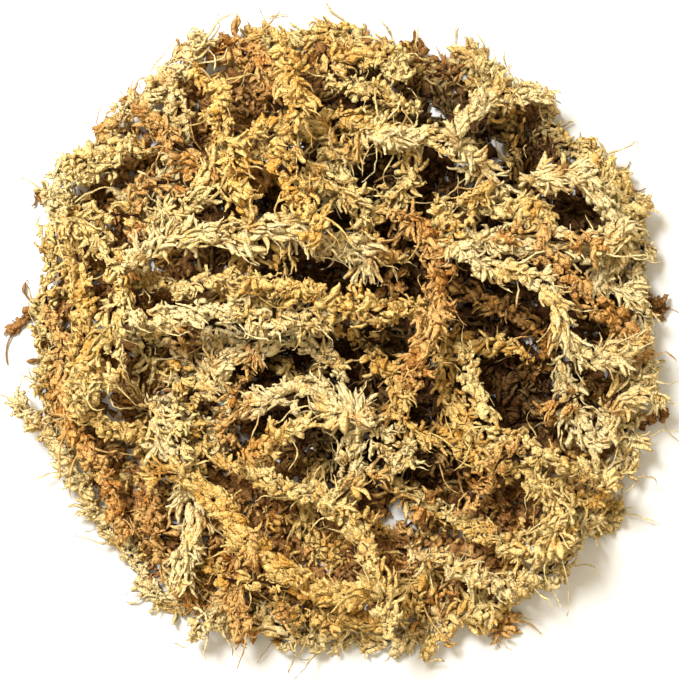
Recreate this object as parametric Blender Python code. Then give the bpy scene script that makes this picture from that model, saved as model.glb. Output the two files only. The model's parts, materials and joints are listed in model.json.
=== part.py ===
"""Sphagnum moss clump: a loose, round tangle of dried leafy moss stems, lying as it was dropped.

Every stem is one closed solid. A bent, tapering core carries overlapping pointed scales, longer
pointed branches that stand out between them, and on some stems a swollen, knobbly head. The
stems are laid one after another, each one sinking until it meets the ground or the stems below,
so that they drape over each other as in a real heap. Lengths are in metres, +Z is up.
"""

import math
import random

import bmesh
import bpy
import numpy as np
from mathutils import Vector
from mathutils.bvhtree import BVHTree

MM = 0.001
CLUMP = "sphagnum_moss_clump"

# A stem: its rings lie this far apart, and each ring is turned by half a side from the last.
RING_STEP = 6.9 * MM
SIDES = 6
TWIST = math.pi / SIDES
END_POINT = 4 * MM
WAVE_HEIGHT = 0.9 * MM
WAVE_TURN = 0.9
WAVE_WANDER = 0.6
HEAD_RINGS = 3

# Scales, as shares of the core's radius: how far their tips stand out and lean forward. A share
# of them is ruffled and stands out further, and those of a head lean forward less.
SCALE_RISE = (0.6, 1.0)
SCALE_LEAN = (0.5, 1.2)
RUFFLED_SHARE = 0.25
RUFFLED_RISE = (1.2, 1.9)
HEAD_RISE = (0.6, 1.1)
HEAD_LEAN = 0.4

# Branches: one side cell in so many grows into a pointed branch. It leans forward and a little
# to one side, narrows to its waist part of the way out, and bends forward from there.
CELLS_PER_BRANCH = 6
BRANCH_LENGTH = (5.0 * MM, 9.0 * MM)
BRANCH_LEAN = 0.7
BRANCH_ASIDE = 0.5
BRANCH_WAIST = 0.62
WAIST_AT = 0.42
TIP_BEND = 0.35
LOWEST_BRANCH = -0.35

# A scale or branch that meets another part of its own stem is shortened to this share, again
# and again until it is clear.
DRAW_IN_SHARE = 0.7
DRAW_IN_TRIES = 8

# Laying: the clear gap over what lies below, how deep a core beds down on the ground, which
# flattens its underside there, the steepest slope of a stem, how flat its own weight has
# pressed it, and the grid's cell.
GAP = 0.3 * MM
BEDDING = 0.7 * MM
STEEPEST = 0.9
FLATTENED = 0.53
CELL = 0.5 * MM
GRID_HALF = 105 * MM
FACE_SAMPLES = 18
EASING_PASSES = 3
NOTHING = -1.0

# Dried moss from bleached to dark, as linear colour.
TONES = {
    "cream": (0.78, 0.64, 0.38),
    "straw": (0.67, 0.47, 0.20),
    "golden": (0.55, 0.33, 0.11),
    "russet": (0.36, 0.17, 0.05),
    "umber": (0.16, 0.08, 0.03),
}

# Each stem: name, tone, radius of its core (mm), whether its far end is a head, and the points
# that it passes through as seen from above (mm from the clump's middle), from root to tip.
# Their order is the order in which they are laid, lowest first.
STEMS = [
    # Under the others
    ("low_west_east", "umber", 3.2, False,
     [(-91, 4), (-78, 16), (-64, 8), (-50, 13), (-33, 3), (-14, -4), (4, 2), (22, 13), (42, 16),
      (56, 6), (70, 12), (91, 9)]),
    ("low_south_sweep", "umber", 3.2, False,
     [(-82, -8), (-70, -3), (-56, -13), (-44, -28), (-27, -33), (-10, -24), (6, -31), (26, -37),
      (44, -28), (60, -22), (76, -27), (90, -19)]),
    ("low_north_sweep", "umber", 3.2, False,
     [(-86, 44), (-70, 38), (-56, 47), (-42, 36), (-24, 24), (-8, 21), (10, 22), (24, 33),
      (38, 30), (52, 38), (64, 33), (77, 52)]),
    ("low_north_south", "russet", 3.2, False,
     [(-45, 84), (-36, 68), (-22, 63), (-6, 70), (8, 56), (14, 44), (18, 28), (12, 8), (8, -12),
      (18, -26), (34, -36), (44, -46), (38, -60), (48, -81)]),
    # The rim, from the left downwards and round
    ("rim_west", "straw", 3.2, False,
     [(-76, 40), (-83, 28), (-82, 18), (-85, 8), (-81, -3), (-84, -13), (-80, -22), (-76, -31),
      (-70, -37), (-61, -39), (-52, -38)]),
    ("rim_south_west", "cream", 2.8, False,
     [(-91, -18), (-82, -27), (-74, -37), (-70, -49), (-60, -56), (-57, -67), (-46, -78)]),
    ("rusty_south_west", "russet", 3.2, True,
     [(-15, -85), (-28, -79), (-40, -76), (-47, -67), (-53, -57), (-53, -46)]),
    ("rim_south", "cream", 3.1, False,
     [(-41, -84), (-33, -75), (-21, -78), (-10, -86), (3, -82), (15, -87), (26, -80),
      (33, -73)]),
    ("rim_south_east", "straw", 3.1, True,
     [(24, -90), (31, -79), (40, -78), (48, -69), (59, -67), (64, -54), (78, -50)]),
    ("rim_east_south", "cream", 3.1, False,
     [(60, -69), (70, -50), (74, -41), (83, -35), (80, -23), (87, -12), (82, -2), (74, 4)]),
    ("rim_east", "cream", 3.0, False,
     [(90, -15), (83, -7), (87, 5), (82, 16), (87, 27), (79, 36), (82, 48)]),
    ("rim_north_east", "straw", 3.2, True,
     [(88, 37), (76, 41), (73, 53), (62, 56), (59, 69), (46, 71), (38, 82)]),
    ("rim_north", "straw", 3.2, False,
     [(30, 66), (28, 76), (19, 83), (9, 82), (-1, 90), (-14, 84), (-23, 90)]),
    ("rim_north_west", "russet", 3.0, True,
     [(-61, 68), (-44, 72), (-32, 84), (-21, 81), (-20, 77), (-24, 71)]),
    ("rim_west_north", "cream", 3.1, False,
     [(-38, 86), (-50, 73), (-55, 66), (-67, 62), (-69, 51), (-80, 47), (-80, 35)]),
    ("russet_west", "russet", 2.7, False,
     [(-80, 9), (-78, -3), (-77, -14), (-76, -24), (-70, -31), (-67, -38), (-64, -46),
      (-61, -54)]),
    ("brown_west", "golden", 2.6, False,
     [(-73, 34), (-74, 22), (-72, 11), (-71, 1), (-74, -8), (-71, -18), (-65, -26), (-56, -24),
      (-54, -31)]),
    # The visible tangle, from its deeper stems to the top ones
    ("south_rope", "golden", 3.2, False,
     [(-16, -75), (-8, -77), (1, -78), (10, -79), (18, -77), (22, -70), (25, -62)]),
    ("dark_south_west", "russet", 3.4, False,
     [(-38, -48), (-34, -56), (-29, -62), (-28, -69), (-31, -76), (-28, -81)]),
    ("curl_east", "russet", 3.2, False,
     [(31, 19), (36, 13), (44, 10), (52, 8), (58, 2), (57, -6), (52, -11), (45, -13), (40, -8)]),
    ("brown_south_middle", "golden", 3.2, True,
     [(-21, -5), (-14, -8), (-7, -12), (-3, -19), (-4, -27), (-6, -34), (-5, -42), (-12, -49),
      (-8, -56), (0, -59)]),
    ("hook_south_middle", "golden", 2.7, False,
     [(9, -5), (15, -9), (17, -15), (15, -21), (19, -25), (26, -26), (33, -28), (39, -32)]),
    ("rosette_chain", "cream", 3.0, True,
     [(5, -44), (3, -36), (1, -29), (5, -25), (10, -23), (13, -27), (18, -33)]),
    ("pale_east_row", "golden", 3.2, False,
     [(52, -4), (43, -1), (34, 1), (28, -4), (30, -12), (33, -20), (37, -27), (43, -32)]),
    ("brown_south_east", "golden", 3.0, False,
     [(38, -31), (45, -34), (53, -38), (61, -40), (68, -44), (71, -47)]),
    ("north_west_pale", "cream", 3.5, False,
     [(-47, 74), (-46, 69), (-46, 63), (-44, 55), (-46, 47), (-53, 44), (-61, 41)]),
    ("north_west_russet", "russet", 3.4, False,
     [(-55, 62), (-49, 59), (-43, 53), (-37, 48), (-31, 44), (-23, 44), (-18, 49)]),
    ("west_knob", "straw", 3.6, True,
     [(-56, 54), (-62, 55), (-68, 51), (-70, 44)]),
    ("feathered_west", "straw", 2.9, False,
     [(-58, 38), (-52, 33), (-46, 34), (-41, 39), (-37, 45), (-32, 50), (-25, 52), (-17, 51)]),
    ("long_north_row", "golden", 2.7, False,
     [(-25, 57), (-16, 60), (-7, 60), (2, 63), (11, 63), (20, 62), (27, 61), (32, 56)]),
    ("north_drop", "golden", 3.3, False,
     [(-39, 75), (-35, 72), (-34, 65), (-33, 58), (-29, 51), (-28, 43), (-28, 34), (-27, 25),
      (-27, 15)]),
    ("north_rosette", "straw", 3.2, True,
     [(21, 66), (11, 69), (1, 73), (-5, 79), (3, 82), (12, 81), (17, 76)]),
    ("spiral_north", "straw", 3.5, True,
     [(8, 36), (14, 40), (20, 45), (21, 52), (15, 57), (7, 57), (-1, 55), (-4, 48), (3, 45)]),
    ("pale_spur", "cream", 2.6, False,
     [(9, 59), (16, 57), (24, 57), (31, 54), (38, 50), (41, 43)]),
    ("north_east_bough", "golden", 3.4, False,
     [(38, 73), (43, 68), (48, 62), (50, 55), (48, 48), (54, 42)]),
    ("feathered_east", "cream", 3.1, False,
     [(31, 54), (33, 60), (40, 67), (44, 70), (50, 69), (56, 66)]),
    ("pale_east_rope", "straw", 3.4, True,
     [(27, 30), (28, 37), (34, 39), (42, 38), (50, 35), (57, 33)]),
    ("curly_east", "cream", 2.8, False,
     [(53, 45), (59, 45), (65, 47), (70, 44), (75, 38), (77, 31), (79, 24), (76, 20), (70, 16)]),
    ("bleached_east", "cream", 2.7, False,
     [(33, 33), (37, 29), (43, 27), (50, 27), (58, 27), (66, 25), (73, 27), (77, 30)]),
    ("left_ribbon", "cream", 3.3, True,
     [(-60, 2), (-52, 3), (-45, 0), (-41, -6), (-45, -13), (-46, -20), (-41, -24), (-34, -26)]),
    ("pale_middle", "cream", 3.1, False,
     [(-38, 0), (-30, 1), (-22, -1), (-14, 1), (-7, 0), (-3, -5), (-2, -12)]),
    ("fan_middle", "cream", 3.4, False,
     [(-29, -5), (-35, -8), (-37, -14), (-31, -18), (-24, -18), (-16, -14), (-8, -13),
      (0, -18), (5, -25)]),
    ("golden_west_row", "straw", 3.3, False,
     [(-60, 18), (-52, 17), (-45, 14), (-38, 17), (-31, 18), (-28, 11), (-22, 9)]),
    ("broad_west", "straw", 3.8, True,
     [(-78, 35), (-74, 33), (-68, 29), (-62, 25), (-61, 17), (-63, 11), (-61, 4), (-64, -4),
      (-65, -10), (-71, -16)]),
    ("brown_bend", "straw", 2.9, False,
     [(-13, 46), (-5, 48), (1, 43), (4, 36), (7, 29), (12, 25), (18, 26)]),
    ("cream_middle_row", "cream", 3.3, False,
     [(-57, 8), (-51, 6), (-44, 8), (-36, 9), (-28, 8), (-20, 5), (-11, 7), (-3, 6)]),
    ("cream_thread_row", "cream", 3.1, False,
     [(-58, 22), (-51, 26), (-43, 28), (-34, 29), (-27, 28), (-21, 32), (-14, 32), (-8, 28),
      (0, 27), (7, 26)]),
    ("north_pillar", "golden", 3.4, False,
     [(-16, 82), (-13, 79), (-12, 72), (-11, 65), (-14, 57), (-17, 50), (-13, 43), (-8, 37),
      (-4, 31)]),
    ("golden_rope", "golden", 4.0, False,
     [(-24, 17), (-11, 14), (0, 11), (10, 8), (20, 9), (27, 5)]),
    ("russet_pillar", "russet", 3.4, False,
     [(16, 35), (21, 33), (25, 28), (28, 21), (26, 12), (25, 4), (21, -4), (21, -12)]),
    ("loop_east", "cream", 3.0, False,
     [(64, -6), (64, -13), (66, -21), (70, -29), (75, -23), (78, -15), (82, -11)]),
    ("broad_east", "russet", 4.2, False,
     [(55, 26), (61, 20), (65, 14), (71, 8), (79, 4), (84, 1)]),
    ("diagonal_east", "straw", 3.4, False,
     [(34, -2), (36, -9), (39, -17), (44, -25), (52, -29), (61, -33), (70, -38), (74, -41)]),
    ("south_east_loop", "straw", 3.3, False,
     [(12, -38), (18, -43), (26, -47), (35, -51), (43, -55), (51, -59), (59, -56), (62, -49),
      (59, -43), (51, -41)]),
    ("pale_south_east", "cream", 3.0, False,
     [(21, -59), (28, -60), (34, -64), (40, -68), (46, -69), (53, -65)]),
    ("south_west_strand", "cream", 3.0, False,
     [(-52, -17), (-51, -23), (-50, -29), (-46, -34), (-43, -38), (-41, -43), (-40, -49),
      (-42, -55), (-44, -61), (-47, -67)]),
    ("golden_bundle", "golden", 3.8, False,
     [(-38, -40), (-31, -48), (-25, -55), (-19, -61), (-14, -66), (-6, -70), (2, -71),
      (8, -69)]),
    ("pale_south", "straw", 3.1, False,
     [(-11, -23), (-20, -27), (-25, -35), (-16, -42), (-6, -42), (0, -46), (5, -52), (8, -58),
      (9, -65), (12, -72), (15, -79)]),
    ("pale_thread_east", "cream", 2.4, False,
     [(30, 26), (36, 23), (41, 20), (46, 18), (52, 20), (57, 15), (59, 10), (60, 5), (62, -1),
      (70, -6), (75, -3), (82, -1)]),
]


def clear_scene():
    """Remove what a new scene starts with."""
    for thing in list(bpy.data.objects):
        bpy.data.objects.remove(thing)


def tone_material(tone):
    """Return the dull, dry material of one tone."""
    made = bpy.data.materials.get(tone) or bpy.data.materials.new(tone)
    made.use_nodes = True
    shader = made.node_tree.nodes["Principled BSDF"]
    shader.inputs["Base Color"].default_value = (*TONES[tone], 1)
    shader.inputs["Roughness"].default_value = 0.85
    shader.inputs["Metallic"].default_value = 0.0
    made.diffuse_color = (*TONES[tone], 1)
    return made


def smooth_route(points, draw):
    """Return ring centres a step apart on a smooth curve through a stem's own points."""
    route = np.array(points, float) * MM
    route = np.vstack([2 * route[0] - route[1], route, 2 * route[-1] - route[-2]])
    fine = []
    for a, b, c, d in zip(route, route[1:], route[2:], route[3:]):
        for t in np.linspace(0, 1, 12, endpoint=False):
            bend = (2 * a - 5 * b + 4 * c - d) * t**2 + (3 * b - 3 * c + d - a) * t**3
            fine.append((2 * b + (c - a) * t + bend) / 2)
    fine = np.array(fine + [route[-2]])
    run = np.concatenate([[0], np.cumsum(np.linalg.norm(np.diff(fine, axis=0), axis=1))])
    count = max(4, round(run[-1] / RING_STEP) + 1)
    at = np.linspace(0, run[-1], count)
    turns = [k * WAVE_TURN + draw.uniform(-WAVE_WANDER, WAVE_WANDER) for k in range(count)]
    wave = [WAVE_HEIGHT * math.sin(turn) for turn in turns]
    return np.column_stack([np.interp(at, run, fine[:, 0]), np.interp(at, run, fine[:, 1]), wave])


def ring_sizes(count, has_head, draw):
    """Return each ring's share of the core's radius, thin at the ends and swollen at a head."""
    sizes = [draw.uniform(0.86, 1.14) for _ in range(count)]
    sizes[0] = 0.5
    sizes[1] = 0.85
    sizes[-1] = 0.45
    if has_head:
        sizes[-HEAD_RINGS:] = [1.15, 1.55, 0.95]
    return sizes


def core_tube(name, centres, radius, sizes):
    """Return a mesh of the bent core: a bevelled curve with its caps welded on."""
    curve = bpy.data.curves.new(name, "CURVE")
    curve.dimensions = "3D"
    curve.bevel_depth = radius
    curve.bevel_resolution = SIDES // 2 - 2
    curve.use_fill_caps = True
    spline = curve.splines.new("POLY")
    spline.points.add(len(centres) - 1)
    for k, point in enumerate(spline.points):
        point.co = (*centres[k], 1)
        point.radius = sizes[k]
        point.tilt = k * TWIST
    tube = bpy.data.objects.new(name + "_core", curve)
    bpy.context.scene.collection.objects.link(tube)
    graph = bpy.context.evaluated_depsgraph_get()
    mesh = bpy.data.meshes.new_from_object(tube.evaluated_get(graph))
    bpy.data.objects.remove(tube)
    bpy.data.curves.remove(curve)
    mesh.name = name
    return mesh


def ring_numbers(bm, centres):
    """Note on each vertex how far along the stem it lies, counted in rings."""
    along = bm.verts.layers.float.new("along")
    for v in bm.verts:
        reach = np.linalg.norm(centres - np.array(v.co), axis=1)
        v[along] = float(np.argmin(reach))
    return along


def forward_of(face, along):
    """Return the direction in which a side cell points towards the stem's tip."""
    near = min(v[along] for v in face.verts)
    front = [v.co for v in face.verts if v[along] > near]
    back = [v.co for v in face.verts if v[along] <= near]
    return (sum(front, Vector()) / len(front) - sum(back, Vector()) / len(back)).normalized()


def raise_point(bm, face, along, shift, beyond):
    """Split a face into a fan round a point moved off its middle, and return that point."""
    middle = sum(v[along] for v in face.verts) / len(face.verts)
    point = bmesh.ops.poke(bm, faces=[face])["verts"][0]
    point.co += shift
    point[along] = middle + beyond
    return point


def grow_branch(bm, face, along, ahead, out, draw):
    """Draw a side cell out into a pointed branch and return its outer points."""
    length = draw.uniform(*BRANCH_LENGTH)
    aside = ahead.cross(out) * draw.uniform(-BRANCH_ASIDE, BRANCH_ASIDE)
    way = (out + BRANCH_LEAN * ahead + aside).normalized()
    waist = bmesh.ops.extrude_discrete_faces(bm, faces=[face])["faces"][0]
    middle = waist.calc_center_median()
    root = sum(v[along] for v in waist.verts) / len(waist.verts)
    for v in waist.verts:
        v.co = middle + (v.co - middle) * BRANCH_WAIST + way * length * WAIST_AT
        v[along] = root + WAIST_AT * way.dot(ahead) * length / RING_STEP
    shift = (way + TIP_BEND * ahead) * length * (1 - WAIST_AT)
    tip = raise_point(bm, waist, along, shift, shift.dot(ahead) / RING_STEP)
    return [*[e.other_vert(tip) for e in tip.link_edges], tip]


def grow_scale(bm, face, along, ahead, out, radius, at_head, draw):
    """Raise the middle of a side cell into a pointed scale and return its point."""
    span = RUFFLED_RISE if draw.random() < RUFFLED_SHARE else SCALE_RISE
    lean = radius * draw.uniform(*SCALE_LEAN)
    if at_head:
        span = HEAD_RISE
        lean *= HEAD_LEAN
    shift = out * radius * draw.uniform(*span) + ahead * lean
    return [raise_point(bm, face, along, shift, lean / RING_STEP)]


def clothe(bm, along, radius, has_head, count, draw):
    """Raise a scale or a branch on every side cell, and a point on each end.

    Returns the points of each one, which can still be moved.
    """
    cells = [f for f in bm.faces if len(f.verts) == 4]
    ends = [f for f in bm.faces if len(f.verts) > 4]
    loose = []
    for face in ends:
        beyond = END_POINT / RING_STEP if face.verts[0][along] > 0 else -END_POINT / RING_STEP
        loose.append([raise_point(bm, face, along, face.normal * END_POINT, beyond)])
    for face in cells:
        ring = min(v[along] for v in face.verts)
        ahead, out = forward_of(face, along), face.normal.copy()
        inner = 0 < ring < count - 2 and out.z > LOWEST_BRANCH
        if inner and draw.random() < 1 / CELLS_PER_BRANCH:
            loose.append(grow_branch(bm, face, along, ahead, out, draw))
        else:
            at_head = has_head and ring >= count - 1 - HEAD_RINGS
            loose.append(grow_scale(bm, face, along, ahead, out, radius, at_head, draw))
    return loose


def crossing_faces(bm):
    """Return the faces of a stem that run through one another."""
    bm.faces.ensure_lookup_table()
    tree = BVHTree.FromBMesh(bm)
    found = set()
    for a, b in tree.overlap(tree):
        if a < b and not set(bm.faces[a].verts) & set(bm.faces[b].verts):
            found |= {bm.faces[a], bm.faces[b]}
    return found


def draw_in(bm, loose, roots):
    """Draw in the scales and branches that run through another part of their own stem."""
    for _ in range(DRAW_IN_TRIES):
        crossed = {v for f in crossing_faces(bm) for v in f.verts}
        if not crossed:
            return
        for group, home in zip(loose, roots):
            if crossed & set(group):
                for v in group:
                    v.co = home + (v.co - home) * DRAW_IN_SHARE


class Heap:
    """The height of what lies on each cell of a square grid, as the stems are laid."""

    def __init__(self):
        across = int(2 * GRID_HALF / CELL)
        self.top = np.full((across, across), NOTHING)

    def cells(self, points):
        spots = ((points[:, :2] + GRID_HALF) / CELL).astype(int)
        return spots[:, 0], spots[:, 1]

    def widened(self):
        """Return the heights with each cell raised to the highest of its neighbours."""
        wide = self.top.copy()
        for axis in (0, 1):
            for step in (-1, 1):
                wide = np.maximum(wide, np.roll(wide, step, axis))
        return wide

    def add(self, points):
        np.maximum.at(self.top, self.cells(points), points[:, 2])


def face_points(corners):
    """Return points spread evenly over each triangle, and the triangle that each lies on."""
    shares = [(i, j, FACE_SAMPLES - i - j) for i in range(FACE_SAMPLES + 1)
              for j in range(FACE_SAMPLES + 1 - i)]
    shares = np.array(shares) / FACE_SAMPLES
    points = np.einsum("sk,fkc->fsc", shares, corners).reshape(-1, 3)
    return points, np.repeat(np.arange(len(corners)), len(shares))


def ring_lifts(bm, along, count, heap):
    """Return how far each ring has to rise to lie clear of the ground and of what is below."""
    corners = np.array([[v.co for v in f.verts] for f in bm.faces])
    rings = np.array([[v[along] for v in f.verts] for f in bm.faces])
    points, owner = face_points(corners)
    needed = np.full(len(corners), NOTHING)
    np.maximum.at(needed, owner, heap.widened()[heap.cells(points)] + GAP - points[:, 2])
    first = np.clip(np.floor(rings.min(axis=1)).astype(int), 0, count - 1)
    last = np.clip(np.ceil(rings.max(axis=1)).astype(int), 0, count - 1)
    lifts = np.full(count, NOTHING)
    for v in bm.verts:
        if v[along] == int(v[along]):
            ring = int(v[along])
            lifts[ring] = max(lifts[ring], -v.co.z - BEDDING)
    for low, high, need in zip(first, last, needed):
        lifts[low:high + 1] = np.maximum(lifts[low:high + 1], need)
    return lifts


def eased(lifts):
    """Return the lifts with no step steeper than a stem bends, and nowhere lower than before."""
    step = STEEPEST * RING_STEP
    for k in range(1, len(lifts)):
        lifts[k] = max(lifts[k], lifts[k - 1] - step)
    for k in range(len(lifts) - 2, -1, -1):
        lifts[k] = max(lifts[k], lifts[k + 1] - step)
    for _ in range(EASING_PASSES):
        padded = np.pad(lifts, 1, mode="edge")
        lifts = np.maximum(lifts, (padded[:-2] + padded[2:]) / 2)
    return lifts


def settle(bm, along, count, heap, loose, roots):
    """Lay a stem on the heap. Scales that would reach into the ground are pressed flat on it."""
    lifts = eased(ring_lifts(bm, along, count, heap))
    for v in bm.verts:
        v.co.z += np.interp(v[along], range(count), lifts)
    for group, home in zip(loose, roots):
        for v in group:
            if v.co.z < 0 and len(group) == 1:
                v.co.xy = home.xy
    for v in bm.verts:
        v.co.z = max(v.co.z, 0.0)
    heap.add(face_points(np.array([[v.co for v in f.verts] for f in bm.faces]))[0])


def fan_middle(group):
    """Return the middle of the rim that a point's fan, or a branch's root, stands on."""
    rim = {e.other_vert(v) for v in group for e in v.link_edges} - set(group)
    return sum((v.co for v in rim), Vector()) / len(rim)


def moss_stem(number, row, heap, collection):
    """Build one leafy stem, lay it on the heap and put it in the collection."""
    name, tone, radius, has_head, points = row
    draw = random.Random(number)
    centres = smooth_route(points, draw)
    count = len(centres)
    mesh = core_tube(name, centres, radius * MM, ring_sizes(count, has_head, draw))
    bm = bmesh.new()
    bm.from_mesh(mesh)
    bmesh.ops.remove_doubles(bm, verts=bm.verts, dist=0.01 * MM)
    bm.normal_update()
    along = ring_numbers(bm, centres)
    loose = clothe(bm, along, radius * MM, has_head, count, draw)
    bmesh.ops.triangulate(bm, faces=bm.faces)
    for v in bm.verts:
        v.co.z *= FLATTENED
    draw_in(bm, loose, [fan_middle(group) for group in loose])
    settle(bm, along, count, heap, loose, [fan_middle(group) for group in loose])
    bmesh.ops.recalc_face_normals(bm, faces=bm.faces)
    bm.to_mesh(mesh)
    bm.free()
    mesh.materials.clear()
    mesh.materials.append(tone_material(tone))
    stem = bpy.data.objects.new(name, mesh)
    collection.objects.link(stem)
    return stem


def centre_on_origin(stems):
    """Move the whole clump so that the middle of its box stands over the origin."""
    corners = np.array([v.co for stem in stems for v in stem.data.vertices])
    low, high = corners.min(axis=0), corners.max(axis=0)
    shift = Vector((-(low[0] + high[0]) / 2, -(low[1] + high[1]) / 2, -low[2]))
    for stem in stems:
        for v in stem.data.vertices:
            v.co += shift


def build():
    clear_scene()
    collection = bpy.data.collections.new(CLUMP)
    bpy.context.scene.collection.children.link(collection)
    heap = Heap()
    stems = [moss_stem(k, row, heap, collection) for k, row in enumerate(STEMS)]
    centre_on_origin(stems)


build()
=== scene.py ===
"""A clump of dried sphagnum moss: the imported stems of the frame, dressed with leafy branches."""

import heapq
import json
import math
import random

import bmesh
import bpy
import numpy as np
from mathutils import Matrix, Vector


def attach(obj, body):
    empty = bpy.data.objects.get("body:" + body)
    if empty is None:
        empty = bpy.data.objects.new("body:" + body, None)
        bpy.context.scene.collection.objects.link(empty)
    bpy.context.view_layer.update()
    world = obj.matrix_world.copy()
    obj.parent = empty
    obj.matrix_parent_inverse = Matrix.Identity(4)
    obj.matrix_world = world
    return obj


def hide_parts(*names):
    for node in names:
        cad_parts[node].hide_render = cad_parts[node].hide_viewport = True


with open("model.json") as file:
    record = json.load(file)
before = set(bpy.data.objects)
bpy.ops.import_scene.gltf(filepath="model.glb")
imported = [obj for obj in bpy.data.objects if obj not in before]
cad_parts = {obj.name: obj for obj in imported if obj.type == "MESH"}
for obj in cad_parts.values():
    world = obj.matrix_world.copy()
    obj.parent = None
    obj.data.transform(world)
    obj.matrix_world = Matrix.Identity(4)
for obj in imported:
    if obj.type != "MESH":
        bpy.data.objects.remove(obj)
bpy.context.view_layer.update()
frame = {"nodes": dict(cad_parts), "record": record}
MM = 0.001

# The bed: four long stems at the bottom of the heap, brown and half rotted, and painted darker
# still with the shade that falls deep in the heap. Like every stem here
# they are one piece of moss each: a thin stem hidden by short leafy branches, which hang down
# along it or stand off, all grown from it. They lie loose, and the others lie on top of them.


class Wire:
    """One output of a node. An expression on wires adds its Math or Vector Math nodes."""

    def __init__(self, plot, socket):
        self.plot = plot
        self.socket = socket

    def join(self, operation, *sides):
        kinds = [s.socket.type for s in sides if isinstance(s, Wire)]
        plain = "VECTOR" not in kinds and not any(isinstance(s, tuple) for s in sides)
        kind = "ShaderNodeMath" if plain else "ShaderNodeVectorMath"
        return self.plot.add(kind, {"operation": operation}, dict(enumerate(sides)))

    def __add__(self, other):
        return self.join("ADD", self, other)

    def __radd__(self, other):
        return self.join("ADD", other, self)

    def __sub__(self, other):
        return self.join("SUBTRACT", self, other)

    def __rsub__(self, other):
        return self.join("SUBTRACT", other, self)

    def __mul__(self, other):
        return self.join("MULTIPLY", self, other)

    def __rmul__(self, other):
        return self.join("MULTIPLY", other, self)

    def __truediv__(self, other):
        return self.join("DIVIDE", self, other)

    def __pow__(self, other):
        return self.join("POWER", self, other)

    def times(self, amount):
        """Return this vector made longer by a number."""
        return self.plot.add("ShaderNodeVectorMath", {"operation": "SCALE"},
                             {0: self, "Scale": amount})

    def cross(self, other):
        return self.join("CROSS_PRODUCT", self, other)

    def clamped(self):
        return self.plot.add("ShaderNodeClamp", {}, {0: self})


class Plot:
    """A node tree that is being laid out."""

    def __init__(self, tree):
        self.tree = tree

    def add(self, kind, settings=None, sockets=None, out=None):
        """Put in a node, set it up, feed its sockets, and return the outputs that are named."""
        node = self.tree.nodes.new(kind)
        for key, value in (settings or {}).items():
            setattr(node, key, value)
        for key, value in (sockets or {}).items():
            socket = node.inputs[key] if isinstance(key, int) else next(
                s for s in node.inputs if s.name == key and s.enabled)
            if isinstance(value, Wire):
                self.tree.links.new(value.socket, socket)
            elif socket.type == "VECTOR" and not isinstance(value, tuple):
                socket.default_value = (value, value, value)
            else:
                socket.default_value = value
        shown = [s for s in node.outputs if s.enabled]
        if out is None:
            return Wire(self, shown[0])
        return [Wire(self, next(s for s in shown if s.name == name)) for name in out.split()]

    def draw(self, low, high, seed, kind="FLOAT"):
        """Return a random value for each element."""
        return self.add("FunctionNodeRandomValue", {"data_type": kind},
                        {"Min": low, "Max": high, "Seed": seed})

    def lay(self, geometry, name, value, kind="FLOAT"):
        """Store a named attribute on each point."""
        return self.add("GeometryNodeStoreNamedAttribute", {"data_type": kind},
                        {"Geometry": geometry, "Name": name, "Value": value})

    def read(self, name, kind="FLOAT"):
        """Read a named attribute."""
        return self.add("GeometryNodeInputNamedAttribute", {"data_type": kind}, {"Name": name})

    def moved(self, geometry, offset):
        return self.add("GeometryNodeSetPosition", {}, {"Geometry": geometry, "Offset": offset})

    def noise(self, scale, detail, reach):
        """Return a shift that wanders with the place, by up to half of its reach each way."""
        colour = self.add("ShaderNodeTexNoise", {}, {"Scale": scale, "Detail": detail}, "Color")[0]
        return (colour - (0.5, 0.5, 0.5)).times(reach)


def new_tree(name, inputs):
    """Return a Geometry Nodes tree with the named inputs, and the wires of these inputs."""
    tree = bpy.data.node_groups.new(name, "GeometryNodeTree")
    sockets = tree.interface
    sockets.new_socket("Geometry", in_out="OUTPUT", socket_type="NodeSocketGeometry")
    for key, kind in {"Geometry": "Geometry", **inputs}.items():
        sockets.new_socket(key, in_out="INPUT", socket_type="NodeSocket" + kind)
    plot = Plot(tree)
    entry = tree.nodes.new("NodeGroupInput")
    return plot, {s.name: Wire(plot, s) for s in entry.outputs if s.name}


GOLDEN_ANGLE = 2.39996
PRESSED = 0.62

TUFT_INPUTS = {
    "Count": "Int", "Bunch": "Int", "From": "Float", "To": "Float", "Length": "Float",
    "Width": "Float", "Lean": "Float", "Splay": "Float", "Swirl": "Float", "Curl": "Float",
    "Droop": "Float", "Depth": "Float", "Segments": "Int", "Sides": "Int", "Seed": "Int"}


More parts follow.
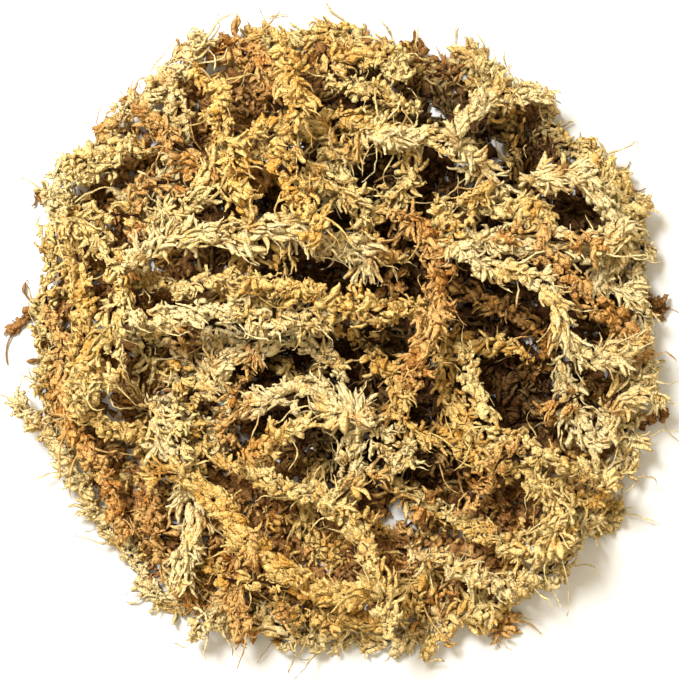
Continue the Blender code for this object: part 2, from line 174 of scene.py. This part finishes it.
def tuft_tree():
    """Grow bunches of plump leafy branches all round a stem, from its root to its tip.

    Each branch starts inside the stem, leans out, forward and round it, hooks back towards it,
    and curls. Its section is flat or a little hollow on one side, as its leaves are, and keeled
    on the other, with a pale edge that is partly its own colour and partly painted highlight.
    """
    plot, given = new_tree("moss_tuft", TUFT_INPUTS)
    seed = given["Seed"]
    part = plot.add("GeometryNodeTrimCurve", {"mode": "FACTOR"},
                    {"Curve": given["Geometry"], "Start": given["From"], "End": given["To"]})
    roots, tangent, normal = plot.add(
        "GeometryNodeCurveToPoints", {"mode": "COUNT"},
        {"Curve": part, "Count": given["Count"]}, "Points Tangent Normal")

    # The bunches follow one another round the stem as on a spiral, not quite evenly, and most of
    # those that would sit under it were rubbed off.
    turn = plot.add("GeometryNodeInputIndex") * GOLDEN_ANGLE + plot.draw(-0.6, 0.6, seed)
    cosine = plot.add("ShaderNodeMath", {"operation": "COSINE"}, {0: turn})
    sine = plot.add("ShaderNodeMath", {"operation": "SINE"}, {0: turn})
    out = normal.times(cosine) + tangent.cross(normal).times(sine)
    roots = plot.lay(roots, "ahead", tangent, "FLOAT_VECTOR")
    roots = plot.lay(roots, "out", out * (1.0, 1.0, PRESSED), "FLOAT_VECTOR")
    roots = plot.lay(roots, "shade", plot.draw(0.0, 1.0, seed + 14))
    roots = plot.lay(roots, "twist", plot.draw((-1.0, -1.0, -0.8), (1.0, 1.0, 0.8), seed + 6,
                                               "FLOAT_VECTOR"), "FLOAT_VECTOR")
    height = plot.add("ShaderNodeSeparateXYZ", {}, {0: plot.read("out", "FLOAT_VECTOR")}, "Z")[0]
    under = plot.add("FunctionNodeCompare", {"operation": "LESS_THAN"},
                     {"A": height + plot.draw(0.0, 0.5, seed + 15), "B": -0.15})
    roots = plot.add("GeometryNodeDeleteGeometry", {}, {"Geometry": roots, "Selection": under})
    roots = plot.add("GeometryNodeDuplicateElements", {"domain": "POINT"},
                     {"Geometry": roots, "Amount": given["Bunch"]}, "Geometry")[0]

    ahead, out = plot.read("ahead", "FLOAT_VECTOR"), plot.read("out", "FLOAT_VECTOR")
    splay = given["Splay"] * plot.draw(0.3, 1.3, seed + 1)
    lean = given["Lean"] * plot.draw(0.3, 1.2, seed + 13)
    stray = plot.draw((-1.0, -1.0, -0.6), (1.0, 1.0, 0.6), seed + 2, "FLOAT_VECTOR")
    swirl = given["Swirl"] * plot.draw(-0.6, 0.6, seed + 12)
    wisp = plot.noise(150.0, 1.0, 5.0).times(given["Swirl"])
    way = (ahead.times(lean) + out.times(splay) + ahead.cross(out).times(swirl)
           + stray.times(given["Curl"] * 0.3) + wisp * (1.0, 1.0, 0.5))
    growth = plot.add("ShaderNodeTexNoise", {}, {"Scale": 80.0, "Detail": 1.0}, "Fac")[0]
    growth = (growth * 2.4 - 0.7).clamped()
    size = given["Length"] * plot.draw(0.65, 1.3, seed + 3) * (0.55 + 0.95 * growth)
    radius = plot.add("GeometryNodeInputRadius")
    shift = out.times(radius * given["Depth"] * plot.draw(0.6, 1.0, seed + 4))
    slip = (ahead.times(plot.draw(-0.9 * MM, 0.9 * MM, seed + 5))
            + ahead.cross(out).times(plot.draw(-0.8 * MM, 0.8 * MM, seed + 16)))
    roots = plot.moved(roots, shift + slip)
    curl = (plot.read("twist", "FLOAT_VECTOR").times(0.8)
            + plot.draw((-1.0, -1.0, -0.8), (1.0, 1.0, 0.8), seed + 17, "FLOAT_VECTOR").times(0.5))
    way = plot.add("ShaderNodeVectorMath", {"operation": "NORMALIZE"}, {0: way})
    pull = curl - out.times(given["Droop"])
    aside = plot.add("ShaderNodeVectorMath", {"operation": "NORMALIZE"},
                     {0: way.cross(pull).cross(way)})
    roots = plot.lay(roots, "way", way, "FLOAT_VECTOR")
    roots = plot.lay(roots, "aside", aside, "FLOAT_VECTOR")
    arc = given["Curl"] * plot.draw(0.25, 1.1, seed + 18) * (1.5 - 1.1 * growth) + 0.05
    roots = plot.lay(roots, "arc", arc)
    roots = plot.lay(roots, "size", size)
    tint = 0.5 * plot.read("shade") + 0.5 * plot.draw(0.0, 1.0, seed + 7)
    roots = plot.lay(roots, "tint", tint)
    roots = plot.lay(roots, "girth", given["Width"] * plot.draw(0.6, 1.35, seed + 8))
    roots = plot.lay(roots, "roll", plot.draw(-1.2, 1.2, seed + 10))
    rotation = plot.add("FunctionNodeAxesToRotation",
                        {"primary_axis": "Z", "secondary_axis": "X"},
                        {"Primary Axis": way, "Secondary Axis": out})
    line = plot.add("GeometryNodeCurvePrimitiveLine", {"mode": "POINTS"},
                    {"End": (0.0, 0.0, 1.0)})
    line = plot.add("GeometryNodeResampleCurve", {"mode": "COUNT"},
                    {"Curve": line, "Count": given["Segments"]})
    step = plot.add("ShaderNodeSeparateXYZ", {}, {0: plot.add("GeometryNodeInputPosition")},
                    "Z")[0]
    closer = plot.add("ShaderNodeCombineXYZ", {}, {"Z": 1.0 - (1.0 - step) ** 1.6})
    line = plot.add("GeometryNodeSetPosition", {}, {"Geometry": line, "Position": closer})
    lines = plot.add("GeometryNodeInstanceOnPoints", {},
                     {"Points": roots, "Instance": line, "Rotation": rotation, "Scale": size})
    lines = plot.add("GeometryNodeRealizeInstances", {}, {"Geometry": lines})

    # Each branch is curled into an arc and sways a little, and its leaves roll round it.
    along = plot.add("GeometryNodeSplineParameter", {}, {}, "Factor")[0]
    size, arc = plot.read("size"), plot.read("arc")
    way, aside = plot.read("way", "FLOAT_VECTOR"), plot.read("aside", "FLOAT_VECTOR")
    sine = plot.add("ShaderNodeMath", {"operation": "SINE"}, {0: arc * along})
    cosine = plot.add("ShaderNodeMath", {"operation": "COSINE"}, {0: arc * along})
    swing = plot.add("ShaderNodeMath", {"operation": "SINE"}, {0: along * 6.0 + arc * 20.0})
    lines = plot.moved(lines, way.times(size * (sine / arc - along))
                       + aside.times(size * (1.0 - cosine) / arc)
                       + way.cross(aside).times(size * swing * along * 0.12))
    place = plot.add("GeometryNodeInputPosition")
    lifted = place.join("MAXIMUM", place, (-1.0, -1.0, 0.9 * MM))
    lines = plot.add("GeometryNodeSetPosition", {}, {"Geometry": lines, "Position": lifted})
    leaf = along * size * (1 / (1.2 * MM)) + plot.read("tint") * 7.0
    lines = plot.lay(lines, "leaf", leaf)
    lines = plot.lay(lines, "run", along)
    lines = plot.add("GeometryNodeSetCurveTilt", {},
                     {"Curve": lines, "Tilt": plot.read("roll") * (0.6 + along * 0.6)})

    # A spindle: widest in its middle, blunt at both ends, with a swelling for each leaf.
    spindle = ((along + 0.1) * (1.03 - along)) ** 0.5 * 1.85
    knob = plot.add("ShaderNodeMath", {"operation": "SINE"}, {0: plot.read("leaf") * 6.2832})
    thick = spindle * (1.0 + 0.3 * knob) * plot.read("girth")
    profile = plot.add("GeometryNodeCurvePrimitiveCircle", {"mode": "RADIUS"},
                       {"Resolution": given["Sides"], "Radius": 1.0})
    number = plot.add("GeometryNodeInputIndex")
    odd = plot.add("ShaderNodeMath", {"operation": "MODULO"}, {0: number, 1: 2.0})
    profile = plot.lay(profile, "ridge", 0.35 + 0.6 * odd)
    right, up = plot.add("ShaderNodeSeparateXYZ", {}, {0: plot.add("GeometryNodeInputPosition")},
                         "X Y")
    keel = plot.add("ShaderNodeMath", {"operation": "MAXIMUM"}, {0: right, 1: 0.0})
    hollow = plot.add("ShaderNodeMath", {"operation": "MAXIMUM"}, {0: -0.5 - right, 1: 0.0})
    corner = plot.add("ShaderNodeCombineXYZ", {}, {"X": up, "Y": keel * -0.9 - hollow * 0.2})
    profile = plot.add("GeometryNodeSetPosition", {}, {"Geometry": profile, "Position": corner})
    skin = plot.add("GeometryNodeCurveToMesh", {}, {
        "Curve": lines, "Profile Curve": profile, "Scale": thick, "Fill Caps": True})
    leave = plot.tree.nodes.new("NodeGroupOutput")
    plot.tree.links.new(skin.socket, leave.inputs[0])
    return plot.tree


TUFT = tuft_tree()


def shrivelled(plot, pieces, material):
    """Join what grew, let it shrivel unevenly, keep it above the ground and finish the tree."""
    joined = plot.tree.nodes.new("GeometryNodeJoinGeometry")
    for piece in pieces:
        plot.tree.links.new(piece.socket, joined.inputs[0])
    whole = plot.moved(Wire(plot, joined.outputs[0]), plot.noise(300.0, 2.0, 1.5 * MM))
    whole = plot.moved(whole, plot.noise(1100.0, 1.0, 1.0 * MM))
    place = plot.add("GeometryNodeInputPosition")
    raised = place.join("MAXIMUM", place, (-1.0, -1.0, 0.05 * MM))
    whole = plot.add("GeometryNodeSetPosition", {}, {"Geometry": whole, "Position": raised})
    whole = plot.add("GeometryNodeSetShadeSmooth", {}, {"Geometry": whole})
    whole = plot.add("GeometryNodeRealizeInstances", {}, {"Geometry": whole})
    leave = plot.tree.nodes.new("NodeGroupOutput")
    whole = plot.add("GeometryNodeSetMaterial", {}, {"Geometry": whole, "Material": material})
    plot.tree.links.new(whole.socket, leave.inputs[0])
    return plot.tree


THIN_STEM = 0.12


def stem_tree():
    """Dress one stem: the thin stem itself, matted branches round it, others that hug it or stand
    off, a dense head at its tip where it has one, and long bare fibres."""
    plot, given = new_tree("leafy_stem", {
        "Branches": "Int", "Length": "Float", "Width": "Float", "Splay": "Float",
        "Swirl": "Float", "Curl": "Float", "Fibres": "Int", "Head": "Int", "Ends": "Int",
        "Seed": "Int", "Material": "Material"})
    curve = given["Geometry"]

    def tuft(seed, **values):
        group = {"Geometry": curve, "Bunch": 1, "From": 0.0, "To": 1.0,
                 "Length": given["Length"], "Width": given["Width"], "Swirl": given["Swirl"],
                 "Curl": given["Curl"], "Sides": 4, "Segments": 6,
                 "Seed": given["Seed"] + seed, **values}
        return plot.add("GeometryNodeGroup", {"node_tree": TUFT}, group)

    # The stem itself, thin and dark, and painted near black as the shade inside its branches,
    # shows only where its branches leave it bare.
    body = plot.add("GeometryNodeResampleCurve", {"mode": "LENGTH"},
                    {"Curve": curve, "Length": 2.0 * MM})
    along = plot.add("GeometryNodeSplineParameter", {}, {}, "Factor")[0]
    taper = plot.add("ShaderNodeMath", {"operation": "MINIMUM", "use_clamp": True},
                     {0: along * 9.0, 1: (1.0 - along) * 9.0})
    ring = plot.add("GeometryNodeCurvePrimitiveCircle", {"mode": "RADIUS"},
                    {"Resolution": 6, "Radius": 1.0})
    girth = plot.add("GeometryNodeInputRadius") * THIN_STEM * (0.12 + 0.88 * taper)
    body = plot.add("GeometryNodeCurveToMesh", {}, {
        "Curve": body, "Profile Curve": ring, "Scale": girth, "Fill Caps": True})
    body = plot.moved(body, plot.noise(560.0, 2.0, 3.0 * MM))
    body = plot.lay(body, "run", 0.1)
    body = plot.lay(body, "tint", 0.2)
    body = plot.lay(body, "core", 1.0)

    # Bunches of broad branches are matted round it, long ones hang down along them, and short
    # ones stand off.
    branches = given["Branches"]
    inner = tuft(100, Count=branches * 0.16, Bunch=2, Lean=1.0, Splay=0.15, Curl=1.0, Droop=0.5,
                 Length=3.6 * MM, Width=1.2 * MM, Depth=0.62, Segments=4, Sides=3)
    hugging = tuft(0, Count=branches * 0.17, Bunch=4, Lean=1.0, Splay=given["Splay"] * 0.22,
                   Length=given["Length"] * 1.25, Curl=given["Curl"] * 0.65, Droop=0.5, Depth=0.95,
                   Segments=6, Sides=3)
    standing = tuft(20, Count=branches * 0.085, Bunch=3, Lean=0.6, Splay=given["Splay"],
                    Curl=given["Curl"] * 1.3, Droop=0.4, Depth=1.0, Segments=6)
    fibres = tuft(40, Count=given["Fibres"], Lean=1.0, Splay=0.2, Swirl=0.6, Length=11 * MM,
                  Width=0.28 * MM, Curl=1.6, Droop=0.3, Depth=1.35, Segments=9, Sides=3)
    fibres = plot.lay(fibres, "tint", 1.2)
    head = tuft(60, Count=given["Head"], From=0.86, Lean=1.0, Splay=1.5, Swirl=0.6, Droop=0.7,
                Depth=1.0)
    ends = {"Count": given["Ends"], "Length": given["Length"] * 0.7, "Splay": 0.3, "Droop": 0.4,
            "Depth": 0.4}
    root_tuft = tuft(80, To=0.05, Lean=-1.0, **ends)
    tip_tuft = tuft(90, From=0.95, Lean=1.0, **ends)
    return shrivelled(plot, (body, inner, hugging, standing, fibres, head, root_tuft, tip_tuft),
                      given["Material"])


STEM = stem_tree()


# Painted shade: a near-black brown for the depths of the heap and for the stem inside its
# branches, where little light reaches.
PAINTED_HEAP_SHADE = (0.022, 0.006, 0.001)
DARKEST = (18 * MM, 14 * MM, 0.0)
DARK_FADE = 4 * MM
DARK_SPREAD = 15 * MM


def dried_leaf(name, pale, middle, deep, stain=(0.56, 0.27, 0.055)):
    """Return the material of dried moss: pale leaf edges and tips over a deeper ground, the edges
    partly their own colour and partly painted highlight, with painted shade in the creases between
    the leaves and at the roots of the branches, rusty stains, and painted shade deep in the heap,
    where hardly any light comes."""
    made = bpy.data.materials.new(name)
    made.use_nodes = True
    plot = Plot(made.node_tree)
    shader = made.node_tree.nodes["Principled BSDF"]

    def attribute(key):
        return plot.add("ShaderNodeAttribute", {"attribute_name": key}, {}, "Fac")[0]

    def noise(scale, detail):
        return plot.add("ShaderNodeTexNoise", {}, {"Vector": space, "Scale": scale,
                                                   "Detail": detail}, "Fac")[0]

    def mixed(factor, a, b):
        return plot.add("ShaderNodeMix", {"data_type": "RGBA", "clamp_factor": True},
                        {"Factor": factor, "A": a, "B": b})

    space = plot.add("ShaderNodeTexCoord", {}, {}, "Object")[0]
    patches, stains, specks = noise(95.0, 3.0), noise(60.0, 4.0), noise(2400.0, 1.0)
    height = plot.add("ShaderNodeSeparateXYZ", {}, {0: space}, "Z")[0]
    away = plot.add("ShaderNodeVectorMath", {"operation": "LENGTH"},
                    {0: space - DARKEST}, "Value")[0]
    run, ridge, tint = attribute("run"), attribute("ridge"), attribute("tint")
    leaf = attribute("leaf") - ridge * 0.4
    leaves = plot.add("ShaderNodeMath", {"operation": "FRACT"}, {0: leaf})
    creases = plot.add("ShaderNodeMath", {"operation": "FRACT"}, {0: ridge * 3.5 + specks})
    # Paler towards the tips and on the rims: partly the leaves' own bleaching, partly a painted
    # highlight along the rims.
    bleached = (run * 0.5 + ridge * 0.6 + (tint - 0.5) * 1.5 + (patches - 0.5) * 3.4
                + (specks - 0.5) * 1.2 + (leaves - 0.5) * 1.0 + (creases - 0.5) * 0.6)
    colour = mixed(bleached * 1.3 + 0.05, (*middle, 1), (*pale, 1))
    colour = mixed((stains - 0.56) * 6.0, colour, (*stain, 1))
    # Painted shade: the colour turns near black low in the heap and towards its heart, and all
    # over the stem itself, where shade falls.
    inside = ((2.8 - height * (1 / DARK_FADE)).clamped()
              * (4.6 - away * (1 / DARK_SPREAD)).clamped())
    # Partly the moss's own brown at random, partly painted shade: darker at the roots of the
    # branches, in the creases between the leaves and on one side of each branch.
    brown_and_crease_shade = ((1.0 - run) * 1.1 + (0.5 - ridge) * 1.2 - (specks - 0.5) * 4.0
                + (0.35 - leaves) * 2.4 + (0.4 - creases) * 1.2 + (0.5 - tint) * 0.6 - 1.1)
    colour = mixed(brown_and_crease_shade * 1.5 - 0.2, colour, (*deep, 1))
    colour = mixed(inside * 0.85 + attribute("core"), colour, (*PAINTED_HEAP_SHADE, 1))
    plot.tree.links.new(colour.socket, shader.inputs["Base Color"])
    plot.tree.links.new((0.72 + 0.2 * specks).socket, shader.inputs["Roughness"])
    shader.inputs["Specular IOR Level"].default_value = 0.1
    relief = specks + leaves * 0.6 + creases * 0.4
    bump = plot.add("ShaderNodeBump", {}, {"Strength": 0.9, "Distance": 0.7 * MM,
                                           "Height": relief})
    plot.tree.links.new(bump.socket, shader.inputs["Normal"])
    return made


MOSS = {"umber": dried_leaf("umber_moss", (0.36, 0.18, 0.06), (0.17, 0.068, 0.014),
                            (0.045, 0.015, 0.003), (0.13, 0.05, 0.01))}


def grown(name, curve, tree, **values):
    """Return the piece that a tree makes of a curve, as a plain mesh."""
    holder = bpy.data.objects.new(name, curve)
    bpy.context.scene.collection.objects.link(holder)
    growth = holder.modifiers.new("growth", "NODES")
    growth.node_group = tree
    for item in tree.interface.items_tree:
        if item.name in values:
            growth[item.identifier] = values[item.name]
    graph = bpy.context.evaluated_depsgraph_get()
    mesh = bpy.data.meshes.new_from_object(holder.evaluated_get(graph))
    bpy.data.objects.remove(holder)
    bpy.data.curves.remove(curve)
    piece = bpy.data.objects.new(name, mesh)
    bpy.context.scene.collection.objects.link(piece)
    return piece


CORE_EDGES = 7
SPACING = 2.3 * MM
SMOOTHING = 3.0 * MM
NEAREST_SHARE = 0.8


def skeleton(node):
    """Return points along the middle of a stem's solid, from end to end, and its radius there.

    The points where many edges meet lie on the core of the stem, and not on its scales. They are
    put in order by their distance along the surface, then averaged round the core. The nearest
    of them lie at a share of its radius from the middle.
    """
    shape = bmesh.new()
    shape.from_mesh(node.data)
    bmesh.ops.remove_doubles(shape, verts=shape.verts, dist=0.001 * MM)
    shape.verts.index_update()
    spots = np.array([v.co for v in shape.verts])
    ways = [[(e.other_vert(v).index, e.calc_length()) for e in v.link_edges]
            for v in shape.verts]
    shape.free()

    def reach(start):
        far = np.full(len(spots), np.inf)
        far[start] = 0
        queue = [(0.0, start)]
        while queue:
            run, here = heapq.heappop(queue)
            for there, step in ways[here]:
                if run + step < far[there]:
                    far[there] = run + step
                    heapq.heappush(queue, (run + step, there))
        return far

    root = int(np.argmax(reach(0)))
    run = reach(root)
    tip = int(np.argmax(run))
    core = np.array([len(way) >= CORE_EDGES for way in ways])
    place = ((run + run[tip] - reach(tip)) / 2)[core]
    rings = spots[core]
    length = run[tip]
    for _ in range(3):
        at = np.linspace(0, length, max(6, round(length / SPACING)))
        weight = np.exp(-((at[:, None] - place[None, :]) / SMOOTHING) ** 2)
        middle = (weight @ rings) / weight.sum(axis=1)[:, None]
        gap = np.linalg.norm(rings[:, None, :] - middle[None, :, :], axis=2)
        place = at[np.argmin(gap, axis=1)]
    girth = (weight @ gap.min(axis=1)) / weight.sum(axis=1) / NEAREST_SHARE
    return np.vstack([spots[root], middle[1:-1], spots[tip]]), girth


def strand(name, lines):
    """Return a curve of open lines, each a list of points with their radius."""
    curve = bpy.data.curves.new(name, "CURVE")
    curve.dimensions = "3D"
    for points in lines:
        spline = curve.splines.new("POLY")
        spline.points.add(len(points) - 1)
        for point, (spot, radius) in zip(spline.points, points):
            point.co = (*spot, 1)
            point.radius = float(radius)
    return curve


TONE = {part["node"]: part["material_slot"] for part in frame["record"]["subparts"]}
END_POINTS = 8


def dress(name, branches=5.0, length=3.2, width=0.66, splay=1.0, swirl=0.8, curl=2.6,
          fibres=0.3, head=0):
    """Stand a leafy stem in the place of its solid. Branches and fibres are counted to the mm,
    lengths and widths are in mm, and a stem's thicker end is its tip."""
    middle, girth = skeleton(frame["nodes"][name])
    if girth[:END_POINTS].max() > girth[-END_POINTS:].max():
        middle, girth = middle[::-1], girth[::-1]
    run = float(np.linalg.norm(np.diff(middle, axis=0), axis=1).sum()) / MM
    piece = grown(name + "_moss", strand(name, [list(zip(middle, girth))]), STEM,
                  Branches=round(branches * run), Length=length * MM, Width=width * MM,
                  Splay=splay, Swirl=swirl, Curl=curl, Fibres=round(fibres * run), Head=head,
                  Ends=8, Seed=100 * list(frame["nodes"]).index(name),
                  Material=MOSS[TONE[name]])
    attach(piece, "root")
    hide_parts(name)


MOSS["russet"] = dried_leaf("russet_moss", (0.66, 0.40, 0.14), (0.42, 0.17, 0.03),
                            (0.09, 0.025, 0.004))
for stem in ("low_west_east", "low_south_sweep", "low_north_sweep", "low_north_south"):
    dress(stem, branches=2.8, splay=1.2)

# The rim: thirteen stems that lie in a loose wavy round, with ends that reach out of it. They
# are bleached more than the rest, and their branches stand off further, because nothing presses
# on them. They grew as one piece each and lie loose.
MOSS["cream"] = dried_leaf("cream_moss", (0.76, 0.62, 0.32), (0.69, 0.46, 0.155),
                           (0.22, 0.075, 0.010))
MOSS["straw"] = dried_leaf("straw_moss", (0.75, 0.58, 0.25), (0.65, 0.39, 0.10),
                           (0.18, 0.056, 0.007))
MOSS["golden"] = dried_leaf("golden_moss", (0.74, 0.52, 0.185), (0.61, 0.32, 0.058),
                            (0.15, 0.043, 0.005))
for stem in ("rim_west", "rim_south_west", "rim_south", "rim_east_south", "rim_east",
             "rim_north", "rim_west_north", "russet_west", "brown_west"):
    dress(stem, splay=1.1)
for stem in ("rusty_south_west", "rim_south_east", "rim_north_east", "rim_north_west"):
    dress(stem, splay=1.1, head=90)

# The ropes: the stems that cross the heap in long wavy rows, matted as thick as a little finger.
# Each is one piece of dried moss, pressed flat along the others when the moss was packed. They
# hold together only by the branches that hook into one another.
for stem in ("south_rope", "dark_south_west", "curl_east", "hook_south_middle",
             "pale_east_row", "brown_south_east", "north_west_pale", "north_west_russet",
             "long_north_row", "north_drop", "north_east_bough", "pale_middle",
             "golden_west_row", "brown_bend", "cream_middle_row", "north_pillar", "golden_rope",
             "russet_pillar", "broad_east", "diagonal_east", "south_east_loop",
             "pale_south_east"):
    dress(stem)

# The combed stems: their branches are long and lie nearly straight along them, with bare fibres
# drawn out between, as on a wet stem that dried under a load. Each is one piece and lies loose.
for stem in ("feathered_west", "feathered_east", "pale_spur", "curly_east", "bleached_east",
             "cream_thread_row", "loop_east", "south_west_strand", "pale_thread_east"):
    dress(stem, length=4.4, width=0.7, splay=0.7, swirl=0.3, curl=1.4, fibres=0.35)

# Three stems that are pressed tighter still: a fan in the middle, a bundle that is closed like
# an ear of grain, and a long twisted strand. Each is one piece of moss and lies on the others.
dress("fan_middle", length=3.8, width=0.75, splay=0.35, swirl=0.3, curl=1.6)
dress("golden_bundle", branches=8.0, length=3.4, width=0.9, splay=0.12, swirl=0.15, curl=0.9)
dress("pale_south", branches=6.0, width=0.75, splay=0.35, swirl=0.3, curl=1.5)

# The knobbly stems: each ends in a round head of young branches, crowded and curled inwards,
# which dried into a rosette. Each is one piece of moss and lies loose on the ropes.
for stem in ("brown_south_middle", "rosette_chain", "west_knob", "north_rosette",
             "spiral_north", "pale_east_rope", "left_ribbon", "broad_west"):
    dress(stem, head=170)

# Broken stems: short wavy lengths that snapped off and fell between the others. They rest loose
# on what lies under them, and hide most of what is left open between the long stems.
fall = random.Random(7)

# Where the ground shows: the middle and the radius of each bare place.
BARE = [(Vector((x, y)) * MM, radius * MM) for x, y, radius in (
    (-32, -34, 4), (15, -52, 6), (-5, -63, 4), (29, 66, 5), (43, 51, 4), (-45, -55, 5),
    (-65, -25, 4))]


def top_at(x, y):
    """Return the height of what lies at a place so far, or of the ground."""
    graph = bpy.context.evaluated_depsgraph_get()
    hit, where, *_ = bpy.context.scene.ray_cast(graph, Vector((x, y, 1)), Vector((0, 0, -1)))
    return where.z if hit else 0.0


def is_bare(spot):
    """Tell whether the ground shows at a place."""
    return any((spot - middle).length < radius for middle, radius in BARE)


def low_places(count, limit, apart, reach):
    """Return places in the clump where the heap is lower than a limit."""
    places = []
    for _ in range(40 * count):
        away, turn = reach * math.sqrt(fall.random()), fall.uniform(0, math.tau)
        spot = Vector((away * math.cos(turn), away * math.sin(turn)))
        if len(places) == count:
            break
        if is_bare(spot) or any((spot - old).length < apart for old in places):
            continue
        if top_at(*spot) < limit:
            places.append(spot)
    return places


def broken(spots, step, radii, rise, highest):
    """Return wavy lines that lie on what is under them, each from a place in the clump."""
    lines = []
    for spot in spots:
        heading = fall.uniform(0, math.tau)
        ahead = Vector((math.cos(heading), math.sin(heading)))
        aside = Vector((-ahead.y, ahead.x))
        places = [spot + ahead * (k - len(radii) / 2 + 0.5) * step
                  + aside * fall.uniform(-0.25, 0.25) * step for k in range(len(radii))]
        heights = [min(top_at(*place), highest) for place in places]
        heights = [max(h, (heights[max(k - 1, 0)] + heights[min(k + 1, len(heights) - 1)]) / 2)
                   for k, h in enumerate(heights)]
        lines.append([((*place, height + rise), radius * MM)
                      for place, height, radius in zip(places, heights, radii)])
    return lines


for tone, count in (("russet", 8), ("golden", 7), ("straw", 4)):
    spots = low_places(count, limit=5 * MM, apart=14 * MM, reach=78 * MM)
    lengths = broken(spots, step=5 * MM, radii=(1.5, 2.6, 3.0, 2.8, 2.6, 1.6), rise=2.0 * MM,
                     highest=22 * MM)
    piece = grown(f"broken_{tone}", strand("broken", lengths), STEM, Branches=70, Ends=4,
                  Length=3.4 * MM, Width=0.6 * MM, Splay=1.0, Swirl=0.8, Curl=2.6, Fibres=1,
                  Head=0, Seed=7000, Material=MOSS[tone])
    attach(piece, "root")

# Litter: single branches that broke off and fell through the heap to the ground, most of them
# brown and half rotted, and wide scraps of them under everything, whose dark colour is partly
# painted shade for the bottom of the heap. They are loose, and they hide most of the ground.


def litter_tree():
    """Scatter loose branches along each short line."""
    plot, given = new_tree("moss_litter", {
        "Count": "Int", "Length": "Float", "Width": "Float", "Sides": "Int",
        "Segments": "Int", "Seed": "Int", "Material": "Material"})
    values = {"Geometry": given["Geometry"], "Count": given["Count"], "Bunch": 1, "From": 0.0,
              "To": 1.0, "Length": given["Length"], "Width": given["Width"], "Lean": 1.0,
              "Splay": 0.3, "Swirl": 1.6, "Curl": 2.0, "Droop": 0.4, "Depth": 1.0,
              "Segments": given["Segments"], "Sides": given["Sides"], "Seed": given["Seed"]}
    branches = plot.add("GeometryNodeGroup", {"node_tree": TUFT}, values)
    return shrivelled(plot, (branches,), given["Material"])


def on_ground(pitch, reach, limit):
    """Return the places of a loose grid where the heap is lower than a limit."""
    count = int(reach / pitch)
    places = []
    for x in range(-count, count + 1):
        for y in range(-count, count + 1):
            spot = Vector((x + fall.uniform(-0.4, 0.4), y + fall.uniform(-0.4, 0.4))) * pitch
            if spot.length < reach and not is_bare(spot) and top_at(*spot) < limit:
                places.append(spot)
    return places


LITTER = litter_tree()
open_places = on_ground(pitch=2.6 * MM, reach=85 * MM, limit=1 * MM)
fall.shuffle(open_places)
for tone, first, last in (("umber", 0.0, 0.45), ("russet", 0.45, 0.8), ("golden", 0.8, 1.0)):
    spots = open_places[int(first * len(open_places)):int(last * len(open_places))]
    heaps = broken(spots, step=2.0 * MM, radii=(1.5, 1.5, 1.5), rise=1.2 * MM, highest=2 * MM)
    piece = grown(f"litter_{tone}", strand("litter", heaps), LITTER, Count=5,
                  Length=4.0 * MM, Width=0.75 * MM, Sides=3, Segments=5, Seed=8000,
                  Material=MOSS[tone])
    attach(piece, "root")
everywhere = on_ground(pitch=2.85 * MM, reach=83 * MM, limit=100 * MM)
spread = [[((spot.x + side * MM, spot.y, 0.6 * MM), 0.8 * MM) for side in (-1, 1)]
          for spot in everywhere]
scraps = grown("litter_scraps", strand("scraps", spread), LITTER, Count=3, Length=4.2 * MM,
               Width=2.1 * MM, Sides=3, Segments=3, Seed=8100, Material=MOSS["umber"])
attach(scraps, "root")

# The studio: a plain pale floor that the clump lies on, one lamp to the upper left, and soft
# warm light all round.
floor_mesh = bpy.data.meshes.new("floor")
half = 3.0
floor_mesh.from_pydata([(-half, -half, 0), (half, -half, 0), (half, half, 0), (-half, half, 0)],
                       [], [(0, 1, 2, 3)])
floor = bpy.data.objects.new("floor", floor_mesh)
bpy.context.scene.collection.objects.link(floor)
paper = bpy.data.materials.new("pale_paper")
paper.use_nodes = True
paper_shader = paper.node_tree.nodes["Principled BSDF"]
paper_shader.inputs["Base Color"].default_value = (0.56, 0.56, 0.56, 1)
paper_shader.inputs["Roughness"].default_value = 0.8
floor_mesh.materials.append(paper)

lamp = bpy.data.lights.new("lamp", "AREA")
lamp.shape = "DISK"
lamp.size = 0.3
lamp.energy = 19
lamp_object = bpy.data.objects.new("lamp", lamp)
lamp_object.location = (-0.35, 0.42, 0.85)
lamp_object.rotation_euler = (-lamp_object.location).to_track_quat("-Z", "Y").to_euler()
bpy.context.scene.collection.objects.link(lamp_object)

world = bpy.data.worlds.new("soft_light")
world.use_nodes = True
sky = world.node_tree.nodes["Background"]
sky.inputs["Color"].default_value = (1, 0.86, 0.62, 1)
sky.inputs["Strength"].default_value = 1.15
bpy.context.scene.world = world
bpy.context.scene.view_settings.view_transform = "Standard"

# The picture is taken from straight above, and its middle lies a little off the clump's. Its
# width is measured at half the height of the clump.
VIEW = 190.5 * MM
MIDDLE = Vector((-0.85, -1.26, 15.0)) * MM
camera = bpy.data.cameras.new("camera")
camera.lens = 120
camera.sensor_width = 36
camera_object = bpy.data.objects.new("camera", camera)
camera_object.location = MIDDLE + Vector((0, 0, VIEW * camera.lens / camera.sensor_width))
bpy.context.scene.collection.objects.link(camera_object)
bpy.context.scene.camera = camera_object
